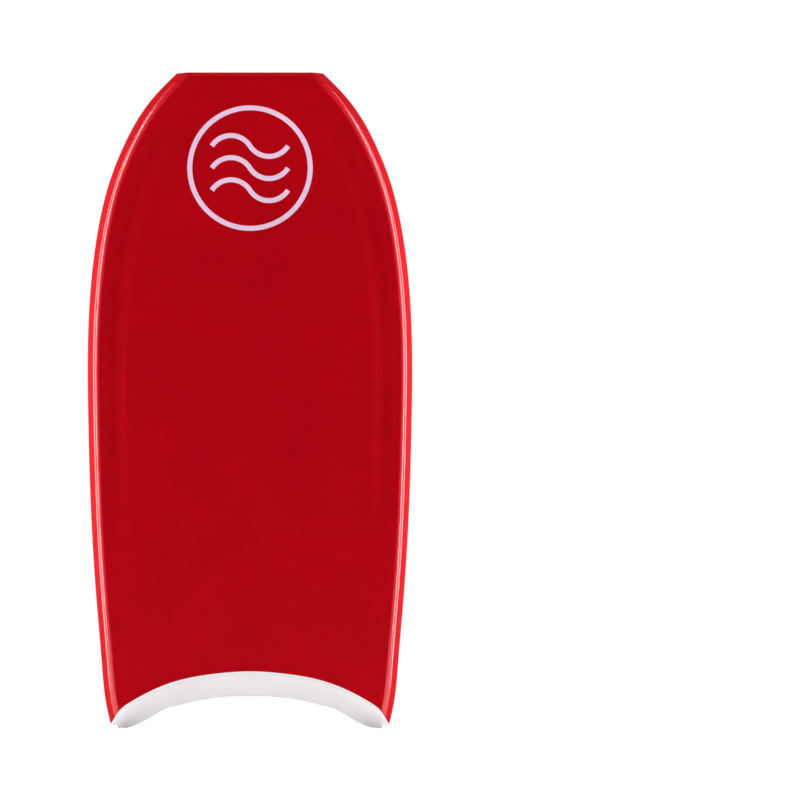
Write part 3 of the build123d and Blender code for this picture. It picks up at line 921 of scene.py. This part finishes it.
# %% Ribbons along a path
def ribbon(path, width, closed=False, across=3):
    """Corners and faces of a flat ribbon of even width along a path of points."""
    path = np.asarray(path, float)
    before, after = np.roll(path, 1, 0), np.roll(path, -1, 0)
    if not closed:
        before[0], after[-1] = path[0], path[-1]
    along = after - before
    along /= np.linalg.norm(along, axis=1)[:, None]
    aside = np.stack([-along[:, 1], along[:, 0]], 1)
    spread = np.linspace(-0.5, 0.5, across + 1) * width
    corners = (path[:, None] + aside[:, None] * spread[None, :, None]).reshape(-1, 2)
    count = len(path)
    faces = [[i * (across + 1) + j, (i + 1) % count * (across + 1) + j,
              (i + 1) % count * (across + 1) + j + 1, i * (across + 1) + j + 1]
             for i in range(count if closed else count - 1) for j in range(across)]
    return corners, faces


def joined(parts):
    """One list of corners and faces from several."""
    corners, faces, base = [], [], 0
    for some, them in parts:
        corners.append(some)
        faces += [[corner + base for corner in face] for face in them]
        base += len(some)
    return np.concatenate(corners), faces


def ring_path(middle, radius, steps=180):
    turn = np.linspace(0, 2 * math.pi, steps, endpoint=False)
    return np.stack([radius * np.cos(turn), middle + radius * np.sin(turn)], 1)


def wave_path(level, reach_out, rise, steps=24):
    """Two arcs, one up and one down, each through three points of a wave line."""
    chord = reach_out / 2
    radius = (chord**2 + rise**2) / (2 * rise)
    half = math.asin(chord / radius)
    turn = np.linspace(-half, half, steps)
    up = np.stack([radius * np.sin(turn) - chord,
                   level + radius * np.cos(turn) - (radius - rise)], 1)
    down = np.stack([up[1:, 0] + reach_out, 2 * level - up[1:, 1]], 1)
    return np.concatenate([up, down])


# %% Badges
STROKE, FINE_STROKE = 0.008, 0.003
WAVE_REACH, WAVE_RISE, WAVE_PITCH = 0.062, 0.017, 0.036


def badge(name, box, middle):
    """Ring and three wave lines, sized by the box of the same badge in the model."""
    outer = (box[1].x - box[0].x) / 2
    scale = outer / 0.102
    parts = [ribbon(ring_path(middle, outer - STROKE / 2), STROKE, closed=True)]
    for row in (-1, 0, 1):
        path = wave_path(middle + row * WAVE_PITCH * scale, WAVE_REACH * scale, WAVE_RISE * scale)
        parts.append(ribbon(path, STROKE))
    return flat_slab(name, *joined(parts))


deck_box, slick_box, ring_box = (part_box(n) for n in ("deck_emblem", "slick_emblem",
                                                     "slick_emblem_ring"))
badge_middle = (deck_box[0].z + deck_box[1].z) / 2
deck_emblem = badge("deck_emblem", deck_box, badge_middle)
lay(deck_emblem, lay_one, deck_skin, TOWARD_SLICK, [ink_pale])
slick_emblem = badge("slick_emblem", slick_box, badge_middle)
lay(slick_emblem, lay_one, slick_skin, TOWARD_DECK, [ink_black], film=0.0003)
ring_radius = (ring_box[1].x - ring_box[0].x - FINE_STROKE) / 2
slick_emblem_ring = flat_slab("slick_emblem_ring", *ribbon(ring_path(badge_middle, ring_radius),
                                                           FINE_STROKE, closed=True, across=2))
lay(slick_emblem_ring, lay_one, slick_skin, TOWARD_DECK, [ink_red], film=0.0003)

# %% [markdown]
# ## Dashes on the rail
#
# A row of slanted dashes is printed on one lower rail. One dash is drawn as a flat slab,
# a tree repeats it along the board, and the film tree lays the row on the slanted foam.

# %% One dash and its row
marks_low, marks_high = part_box("rail_marks")
DASHES, DASH_PITCH, DASH_LENGTH, DASH_SLANT = 9, 0.019, 0.011, 0.005
cuts = np.linspace(0, 1, 4)
dash_corners = [(between(marks_low.y, marks_high.y, a),
                 marks_low.z + a * DASH_SLANT + b * DASH_LENGTH) for a in cuts for b in cuts]
dash_faces = [[i * 4 + j, (i + 1) * 4 + j, (i + 1) * 4 + j + 1, i * 4 + j + 1]
              for i in range(3) for j in range(3)]
rail_marks = flat_slab("rail_marks", dash_corners, dash_faces, axes=(1, 2))
row_tree, ins, out = new_tree("row of dashes", [("Count", "Int", DASHES),
                                                ("Pitch", "Float", DASH_PITCH),
                                                ("Ink", "Material", None)])
step = node(row_tree, "ShaderNodeCombineXYZ", Z=ins.outputs["Pitch"])
row = node(row_tree, "GeometryNodeMeshLine", Count=ins.outputs["Count"], Offset=step.outputs[0])
many = node(row_tree, "GeometryNodeInstanceOnPoints", Points=row.outputs[0],
            Instance=ins.outputs["Geometry"])
row_tree.links.new(coated(row_tree, many.outputs[0], ins.outputs["Ink"]), out.inputs[0])
bake_nodes(rail_marks, row_tree, {"Ink": ink_white})
lay(rail_marks, lay_one, finished["rail_strip_left"], (1.0, 0.0, 0.0), [ink_white],
    film=0.0002)

# %% [markdown]
# ## The print on the slick: drawing with distances
#
# The bottom is printed with slanted red splinters and rolling waves in two blues, with
# black lines round everything. Such a print is easy to describe with distances. A shape
# is a function that gives, for any point, how far outside the shape it lies (negative
# inside). The edge of the shape is where the function is zero, an even black line is
# everything nearer than a few millimetres, and two shapes melt into one when their
# distances are blended. All distances here are in millimetres, across from left to right
# as seen on the slick, and up from the tail.


# %% Distance shapes
def melt(a, b, soft):
    """Smaller of two distances, rounded where they are alike."""
    gap = np.maximum(soft - np.abs(a - b), 0) / soft
    return np.minimum(a, b) - gap**2 * soft / 4


def limb(p, start, end, wide, narrow):
    """Distance to a straight limb that changes from one radius to another."""
    a, b = np.array(start, float), np.array(end, float)
    along = np.clip(((p - a) @ (b - a)) / ((b - a) @ (b - a)), 0, 1)
    return np.linalg.norm(p - a - along[:, None] * (b - a), axis=1) - between(wide, narrow, along)


def body(p, spine, radii, soft=14.0):
    """Distance to a smooth body that follows a spine of points."""
    reach_of = None
    for start, end, wide, narrow in zip(spine, spine[1:], radii, radii[1:]):
        part = limb(p, start, end, wide, narrow)
        reach_of = part if reach_of is None else melt(reach_of, part, soft)
    return reach_of


def slab_of(p, corners):
    """Distance to a splinter with straight sides, given its corners in turn."""
    corners = np.array(corners, float)
    following = np.roll(corners, -1, 0)
    near = np.full(len(p), 1e9)
    inside = np.zeros(len(p), bool)
    for a, b in zip(corners, following):
        near = np.minimum(near, limb(p, a, b, 0.0, 0.0))
        level = (a[1] > p[:, 1]) != (b[1] > p[:, 1])
        cross = a[0] + (p[:, 1] - a[1]) * (b[0] - a[0]) / ((b[1] - a[1]) or 1e-9)
        inside ^= level & (p[:, 0] < cross)
    return np.where(inside, -near, near)


# %% Splinters
SPLINTERS = [
    [(-275, 812), (-275, 706), (40, 318), (92, 210), (232, 196)],
    [(-275, 668), (-275, 548), (-120, 352), (58, 14), (152, 14)],
    [(-275, 452), (-275, 372), (-140, 160), (-62, -20), (40, -20)],
    [(-275, 236), (-275, 196), (-150, -20), (-108, -20)],
    [(10, 300), (66, 256), (262, 40), (262, 112)],
]
SLIVERS = [[(-196, 540), (-92, 420), (-150, 420)], [(-30, 348), (52, 206), (4, 268)],
           [(-206, 300), (-150, 214), (-120, 128)]]


def splinters(p):
    """All red splinters with the pale slivers taken out."""
    red = np.minimum.reduce([slab_of(p, corners) for corners in SPLINTERS])
    pale = np.minimum.reduce([slab_of(p, corners) for corners in SLIVERS])
    return np.maximum(red, -pale)


# %% Rolling waves
def roller(p, spine, radii, drips, drop):
    """A wave: a thick smooth body with round fingers of water hanging from it."""
    whole = body(p, spine, radii)
    for index, (across, up) in enumerate(even_drips(*drips)):
        length = drop * (0.62, 1.0, 0.78)[index % 3]
        finger = limb(p, (across, up), (across + 0.42 * length, up - length), 9.5, 9.0)
        whole = melt(whole, finger, 12.0)
    return whole


def even_drips(start, end, count):
    """Points for the fingers, spaced evenly from one end of a wave to the other."""
    return [(between(start[0], end[0], i / (count - 1)), between(start[1], end[1], i / (count - 1)))
            for i in range(count)]


WAVES = [
    ([(-62, 452), (6, 488), (84, 482), (150, 440), (190, 398)], [8, 30, 33, 28, 15],
     ((58, 452), (196, 392), 5), 62),
    ([(-262, 300), (-205, 330), (-140, 330), (-80, 292), (-46, 262)], [30, 28, 30, 24, 13],
     ((-196, 306), (-46, 262), 5), 44),
    ([(-92, 20), (-74, 92), (-26, 158), (44, 198), (124, 208), (196, 180), (275, 166)],
     [36, 34, 36, 38, 32, 20, 11], ((-40, 132), (150, 178), 6), 40),
]


def light_waves(p):
    return np.minimum.reduce([roller(p, *wave) for wave in WAVES])


def back_swell(p):
    return body(p, [(-262, 392), (-190, 440), (-110, 438), (-40, 400), (6, 376)],
                [26, 32, 36, 30, 20])


def front_swells(p):
    left = body(p, [(-262, -20), (-214, 60), (-196, 150), (-228, 230), (-275, 262)],
                [60, 40, 34, 26, 20])
    right = body(p, [(30, -20), (92, 40), (170, 66), (275, 92)], [34, 44, 52, 50])
    return np.minimum(left, right)


# %% Lines inside the swells
STRAND, STRAND_INSET = 1.5, 5.0
BACK_RINGS = [((-120, 250), (158, 176, 194, 212)), ((60, 300), (98, 116))]
FRONT_RINGS = [((-70, 60), (108, 124, 142, 160, 178)), ((150, -150), (176, 196, 216, 238, 262))]


def strands(swell, rings):
    """Dark lines that run round a few points, kept inside a swell."""
    def field(p):
        lines = [np.abs(np.linalg.norm(p - np.array(middle, float), axis=1) - radius)
                 for middle, radii in rings for radius in radii]
        return np.maximum(np.minimum.reduce(lines) - STRAND, swell(p) + STRAND_INSET)
    return field


def zigzag(p, start, steps, size):
    """A little white crackle of foam."""
    spots = [(start[0] + i * size, start[1] + (size * 0.55 if i % 2 else 0) - i * size * 0.28)
             for i in range(steps)]
    return np.minimum.reduce([limb(p, a, b, 2.2, 2.2) for a, b in zip(spots, spots[1:])])


ZIGZAGS = [((40, 496), 7, 11), ((-186, 338), 6, 10), ((-60, 118), 5, 11), ((30, 214), 7, 11),
           ((-12, 484), 4, 9)]


def foam_marks(p):
    return np.minimum.reduce([zigzag(p, *line) for line in ZIGZAGS])


# %% [markdown]
# ## From distances to a mesh
#
# The shapes are painted in order, like screens in a print shop: each one covers what is
# below it. To turn the painting into clean faces, the edge of every shape is traced on a
# fine grid, the parts of the edges that stay visible are kept, and a constrained Delaunay
# triangulation joins them into one sheet of triangles that never cross an edge. Each
# triangle then takes the ink at its middle.

# %% Painting order
PALE, BLACK, RED, SKY, DEEP = range(5)
SHEET_OF_INK = [slick_white, ink_black, ink_red, ink_sky, ink_deep]
LINE, FOAM_LINE = 3.2, 1.7
PRINT_MARGIN, PRINT_GAP, TAIL_LINE = 6.0, 2.0, 5.0
PRINT_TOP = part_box("slick_print")[1].z / MM


def tail_edge(p):
    """Height of the slick's tail edge, channels included."""
    x = p[:, 0] * MM
    low = low_crescent(x)
    return tail_z(x, SLICK_FLAT - channel(x, low)) / MM


def past_print(p):
    """Distance outside the printed area, which leaves a narrow margin at the rails."""
    z = p[:, 1] * MM
    side = (half_width(z) - slick_inset(z)) / MM - PRINT_MARGIN * reach(z)**0.5
    tail = tail_edge(p) + PRINT_GAP
    return np.maximum.reduce([np.abs(p[:, 0]) - side, tail - p[:, 1], p[:, 1] - PRINT_TOP])


def tail_line(p):
    return p[:, 1] - tail_edge(p) - PRINT_GAP - TAIL_LINE


def lined(field, colour, line=LINE):
    """A shape in its ink, over the same shape a little larger in black."""
    return [(lambda p: field(p) - line, BLACK), (field, colour)]


PAINTING = [
    *lined(back_swell, DEEP), (strands(back_swell, BACK_RINGS), BLACK),
    *lined(splinters, RED),
    *lined(front_swells, DEEP), (strands(front_swells, FRONT_RINGS), BLACK),
    *lined(light_waves, SKY), *lined(foam_marks, PALE, FOAM_LINE), (tail_line, BLACK),
]
OUTSIDE = -1


def painted(p):
    """Ink at every point, later shapes on top of earlier ones."""
    ink = np.full(len(p), PALE)
    for field, colour in PAINTING:
        ink[field(p) < 0] = colour
    ink[past_print(p) > 0] = OUTSIDE
    return ink


# %% Tracing edges
STEP, LOOK_ASIDE = 2.0, 0.45
grid_x = np.arange(-252, 252 + STEP, STEP)
grid_z = np.arange(-6, 1060 + STEP, STEP)


def traced(field):
    """Short pieces of a shape's edge, one or two for each grid square that it crosses."""
    px, pz = np.meshgrid(grid_x, grid_z, indexing="ij")
    flat = np.stack([px.ravel(), pz.ravel()], 1)
    value = field(flat).reshape(px.shape)
    value[np.abs(value) < 1e-7] = 1e-7
    inside = value < 0

    def crossing(first, second, start, axis):
        share = first / (first - second)
        spot = start.copy()
        spot[..., axis] += share * STEP
        return spot

    spot = np.stack([px, pz], -1)
    with np.errstate(divide="ignore", invalid="ignore"):
        level = crossing(value[:-1], value[1:], spot[:-1], 0)
        upright = crossing(value[:, :-1], value[:, 1:], spot[:, :-1], 1)
    level_cut = inside[:-1] != inside[1:]
    upright_cut = inside[:, :-1] != inside[:, 1:]
    cuts = np.stack([level_cut[:, :-1], upright_cut[1:], level_cut[:, 1:], upright_cut[:-1]], -1)
    spots = np.stack([level[:, :-1], upright[1:], level[:, 1:], upright[:-1]], -2)
    found = cuts.any(-1)
    cuts, spots = cuts[found], spots[found]
    order = np.argsort(~cuts, axis=1, kind="stable")
    first = np.take_along_axis(spots, order[:, :, None], 1)
    pairs = [first[:, :2]]
    doubled = cuts.all(1)
    pairs.append(first[doubled][:, 2:])
    return np.concatenate(pairs)


def seen(pieces):
    """The pieces of edge with different inks on their two sides."""
    along = pieces[:, 1] - pieces[:, 0]
    aside = np.stack([-along[:, 1], along[:, 0]], 1)
    aside /= np.maximum(np.linalg.norm(aside, axis=1), 1e-9)[:, None]
    middle = pieces.mean(1)
    return pieces[painted(middle + aside * LOOK_ASIDE) != painted(middle - aside * LOOK_ASIDE)]


edges = np.concatenate([traced(field) for field, _ in PAINTING] + [traced(past_print)])
edges = seen(edges)
print("pieces of edge kept:", len(edges))

# %% One sheet of triangles
FILL_MARGIN = 4


def crossed(across, up):
    """Every point of a grid, one to a row."""
    return np.stack([side.ravel() for side in np.meshgrid(across, up, indexing="ij")], 1)


over_channels = np.concatenate([np.arange(-162, -104, 4.0), np.arange(106, 164, 4.0)])
fill = np.concatenate([crossed(np.arange(-250, 251, 10.0), np.arange(0, 1060, 12.0)),
                       crossed(over_channels, np.arange(3, 165, 8.0))])
fill = fill[past_print(fill) < -FILL_MARGIN]
spots = np.concatenate([edges.reshape(-1, 2), fill])
keys, back = np.unique(np.round(spots, 3), axis=0, return_inverse=True)
back = back.ravel()
wires = back[:len(edges) * 2].reshape(-1, 2)
wires = wires[wires[:, 0] != wires[:, 1]]
made = delaunay_2d_cdt([Vector(k) for k in keys], [tuple(map(int, w)) for w in wires], [], 0, 0.02,
                       False)
corners = np.array([tuple(v) for v in made[0]])
triangles = np.array(made[2])
ink_of = painted(corners[triangles].mean(1))
triangles, ink_of = triangles[ink_of != OUTSIDE], ink_of[ink_of != OUTSIDE]
used, renamed = np.unique(triangles, return_inverse=True)
triangles = renamed.reshape(-1, 3)
flat = corners[used] * MM
flat[:, 0] *= -1
print("triangles in the print:", len(triangles))

# %% Lay the print
slick_print = flat_slab("slick_print", flat, triangles, ink_of)
lay(slick_print, lay_five, slick_skin, TOWARD_DECK, SHEET_OF_INK)

# %% [markdown]
# ## What is inside
#
# The core, the stringer tube with its caps, the plug that closes its bore and the net
# under the slick aren't seen, but they stay in the model as they are and only get
# materials, so a cut through the board would look right.

# %% Hidden pieces
tube_black = foam("carbon tube", (34, 34, 38), (18, 18, 22), rough=0.3,
                  grain=0.3)
cap_grey = foam("cap plastic", (120, 122, 128), (104, 106, 112), rough=0.4,
                grain=0.3)
net_grey = foam("netting", (190, 192, 196), (150, 152, 158), rough=0.6)
for name, finish in (("foam_core", core_foam), ("stringer", tube_black), ("bore_plug", core_foam),
                     ("stringer_end_caps", cap_grey), ("bottom_mesh", net_grey)):
    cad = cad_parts[name]
    for material_slot in cad.material_slots:
        material_slot.material = finish

# %% [markdown]
# ## Dress the pieces
#
# Each new piece takes its material, rides on the board and stands in for one piece of the
# model. The chine strips take two: a dull red on the straight slope, and a glossier, lighter
# red with a painted highlight on the rolled edge, which stops a little short of the nose.

# %% Finishes and places of the pieces
finishes = {
    "deck_skin": (deck_red, "deck_foam"), "tail_skin": (tail_white, "tail_foam"),
    "nose_bumper": (nose_black, "black_foam"), "slick_skin": (slick_white, "slick"),
    "chine_strip_left": (rail_red, "rail_foam"), "chine_strip_right": (rail_red, "rail_foam"),
    "rail_strip_left": (rail_red, "rail_foam"), "rail_strip_right": (rail_red, "rail_foam"),
    "deck_emblem": (None, "pale_ink"), "slick_emblem": (None, "print_black"),
    "slick_emblem_ring": (None, "print_red"), "rail_marks": (None, "white_ink"),
    "slick_print": (None, "print"),
}
NOSE_PLAIN = 0.020
for name, (finish, place) in finishes.items():
    piece = finished[name]
    if finish:
        piece.data.materials.clear()
        piece.data.materials.append(finish)
    # The rolled part of each chine strip takes the lighter red, a painted highlight, except near the
    # nose.
    if finish is rail_red and name.startswith("chine"):
        piece.data.materials.append(rolled_edge_highlight_red)
        for face in piece.data.polygons:
            inset = half_width(face.center.z) - abs(face.center.x)
            rolled = inset > CHINE_RUN * reach(face.center.z)
            face.material_index = int(rolled and face.center.z < LENGTH - NOSE_PLAIN)
    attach(piece, "root")
    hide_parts(name)

# %% [markdown]
# ## Floor, light and camera
#
# The board stands on a plain pale floor in a plain white room. On each face of the board
# two tall softboxes stand almost edge-on at its left and right. They draw the long bright
# lines down the rolled edges and leave the flat middle darker. Two broad soft lamps, half
# turned, fill the middle, and a wide flat one above catches the rolled end of the nose. One
# more pair stands level with the rails. The floor gives off a little light and the room is
# white, but only to the camera, so both stay pale away from the lamps. The camera has no
# perspective, as from very far away, and looks level at the deck.

# %% Floor
floor_mesh = bpy.data.meshes.new("floor")
FLOOR_REACH, FLOOR_GAP, FLOOR_GLOW = 3, 0.0005, 0.78
floor_mesh.from_pydata([(x * FLOOR_REACH, y * FLOOR_REACH, cad_low.z - FLOOR_GAP)
                        for x, y in ((-1, -1), (1, -1), (1, 1), (-1, 1))], [], [(0, 1, 2, 3)])
floor = into_scene("floor", floor_mesh)
floor_material, tree, shader = new_material("pale floor")
place = node(tree, "ShaderNodeTexCoord").outputs["Object"]
pale = mixed(tree, noise(tree, place, 3.0), from_screen(240, 240, 241), from_screen(246, 246, 247))
tree.links.new(pale, shader.inputs["Base Color"])
shader.inputs["Roughness"].default_value = 0.9
shader.inputs["Specular IOR Level"].default_value = 0.1
tree.links.new(pale, shader.inputs["Emission Color"])
camera_ray = node(tree, "ShaderNodeLightPath").outputs["Is Camera Ray"]
tree.links.new(maths(tree, "MULTIPLY", camera_ray, FLOOR_GLOW), shader.inputs["Emission Strength"])
floor_mesh.materials.append(floor_material)


# %% Softboxes
def softbox(name, spot, look_at, width, height, power):
    light = bpy.data.lights.new(name, "AREA")
    light.shape = "RECTANGLE"
    light.size, light.size_y, light.energy = width, height, power
    holder = into_scene(name, light)
    holder.location = spot
    holder.rotation_euler = (Vector(look_at) - Vector(spot)).to_track_quat("-Z", "Y").to_euler()
    holder.visible_camera = False


middle = (cad_low.z + cad_high.z) / 2
# name, place (aside, depth, above the middle), width, height, power
LAMPS = [
    ("rim", 1.0, 0, 0, 0.26, 2.4, 18),
    ("deck_main", 1.5, -0.76, 0, 0.16, 2.4, 17), ("deck_fill", 2.0, -2.2, 0.3, 1.2, 2.2, 2),
    ("slick_main", 1.5, 0.76, 0, 0.16, 2.4, 9), ("slick_fill", 2.0, 2.2, 0.3, 1.2, 2.2, 21),
]
for side in (-1, 1):
    for name, aside, depth, above, width, height, power in LAMPS:
        softbox(f"{name}_{side}", (side * aside, depth, middle + above), (0, 0, middle),
                width, height, power)
for face, name in ((-1, "deck"), (1, "slick")):
    softbox(f"{name}_top", (0, face * 0.9, middle + 1.6), (0, 0, middle + 0.3), 1.2, 0.2, 10)

# %% Room
ROOM_LIGHT = 0.02
world = bpy.data.worlds.new("white room")
world.use_nodes = True
bpy.context.scene.world = world
room = world.node_tree
room.nodes.clear()
lit = node(room, "ShaderNodeBackground", Color=(1, 1, 1, 1), Strength=ROOM_LIGHT)
seen_white = node(room, "ShaderNodeBackground", Color=(1, 1, 1, 1), Strength=1.0)
choose = node(room, "ShaderNodeMixShader", in1=lit.outputs[0], in2=seen_white.outputs[0])
room.links.new(node(room, "ShaderNodeLightPath").outputs["Is Camera Ray"], choose.inputs[0])
room.links.new(choose.outputs[0], room.nodes.new("ShaderNodeOutputWorld").inputs[0])
bpy.context.scene.view_settings.view_transform = "Standard"

# %% Camera
FRAME_WIDTH, BOARD_ASIDE = 1.3012, 0.2440
camera_data = bpy.data.cameras.new("camera")
camera_data.type = "ORTHO"
camera_data.ortho_scale = FRAME_WIDTH
camera = into_scene("camera", camera_data)
camera.location = (BOARD_ASIDE, -4.0, middle + 0.0005)
camera.rotation_euler = (math.radians(90), 0, 0)
bpy.context.scene.camera = camera
